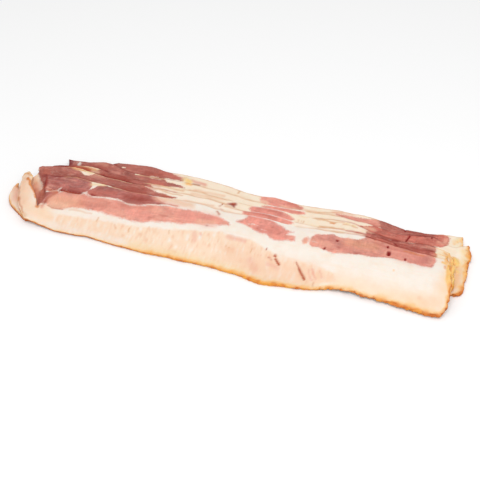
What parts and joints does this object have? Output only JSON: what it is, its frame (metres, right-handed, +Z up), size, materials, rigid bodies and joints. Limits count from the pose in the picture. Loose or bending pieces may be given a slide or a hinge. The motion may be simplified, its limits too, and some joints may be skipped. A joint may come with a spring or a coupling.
{
  "type": "sliced bacon",
  "caption": "Shingled bunch of raw smoked streaky bacon slices, rind edges to the front, lean edges stepped behind, one slice torn at its end.",
  "frame": {"origin": "middle of the bunch's base, on the surface that it lies on", "axes": "+X along the slices, towards the untorn end; +Y from the rind edges to the lean edges; +Z up through the stack"},
  "size_m": [0.2717, 0.0771, 0.0132],
  "materials": {
    "slice_bottom_meat": "moist satin",
    "slice_fourth_meat": "moist satin",
    "slice_middle_meat": "moist satin",
    "slice_second_meat": "moist satin",
    "slice_top_meat": "moist satin"
  },
  "bodies": {
    "root": {"slice_bottom": "slice_bottom_meat", "slice_fourth": "slice_fourth_meat", "slice_middle": "slice_middle_meat", "slice_second": "slice_second_meat", "slice_top": "slice_top_meat"}
  },
  "joints": []
}
